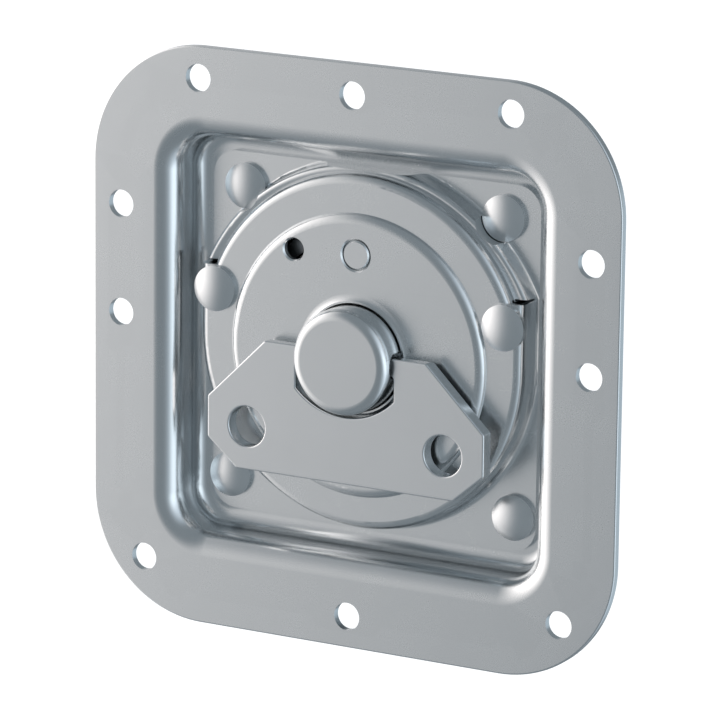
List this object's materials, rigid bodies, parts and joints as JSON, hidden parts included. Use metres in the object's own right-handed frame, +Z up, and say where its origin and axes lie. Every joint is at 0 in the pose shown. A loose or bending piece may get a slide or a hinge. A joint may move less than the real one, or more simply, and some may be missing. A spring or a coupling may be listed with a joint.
{
  "type": "rotary cam latch",
  "caption": "Recessed rotary cam latch: square dished flange, folding wing handle with padlock holes, and a cam on the spindle behind the dish.",
  "frame": {"origin": "centre of the flange's back face, on the spindle's axis", "axes": "-Y out of the door towards the user, +X to the right and +Z up as the latch is seen from the front"},
  "size_m": [0.114, 0.0362, 0.115],
  "materials": {
    "zinc_pressing": "bright zinc plate on drawn sheet steel, smooth satin sheen",
    "zinc_cover": "bright zinc plate on stamped sheet steel",
    "zinc_handle": "bright zinc plate on a blanked steel handle with softened edges",
    "zinc_hub": "bright zinc plate on a turned steel cap",
    "zinc_rivet": "bright zinc plate on headed steel rivets",
    "zinc_pin": "bright zinc plate on a flush pin",
    "steel_spindle": "turned steel, plated",
    "steel_index": "blanked steel, plated",
    "nylon_washer": "natural nylon",
    "spring_steel": "oiled spring steel",
    "bronze_bush": "sintered bronze",
    "zinc_cam": "bright zinc plate on a blanked steel cam",
    "zinc_washer": "bright zinc plate",
    "zinc_nut": "bright zinc plate"
  },
  "bodies": {
    "dish": {"dish_pan": "zinc_pressing", "cover_plate": "zinc_cover", "top_left_rivet": "zinc_rivet", "top_right_rivet": "zinc_rivet", "bottom_left_rivet": "zinc_rivet", "bottom_right_rivet": "zinc_rivet", "mid_left_rivet": "zinc_rivet", "mid_right_rivet": "zinc_rivet", "stop_pin": "zinc_pin", "disc_spring": "spring_steel", "bearing_bush": "bronze_bush"},
    "spindle": {"spindle": "steel_spindle", "hub_cap": "zinc_hub", "thrust_washer": "nylon_washer", "index_plate": "steel_index", "cam": "zinc_cam", "flat_washer": "zinc_washer", "lock_washer": "zinc_washer", "cam_nut": "zinc_nut"},
    "wing": {"wing_handle": "zinc_handle"}
  },
  "joints": [
    {"name": "spindle_turn", "type": "hinge", "parent": "dish", "child": "spindle", "pos_m": [0, 0, 0], "axis": [0, 1, 0], "range_deg": [0, 90]},
    {"name": "wing_fold", "type": "hinge", "parent": "spindle", "child": "wing", "pos_m": [0, -0.002, 0], "axis": [-1, 0, 0], "range_deg": [0, 90]}
  ]
}
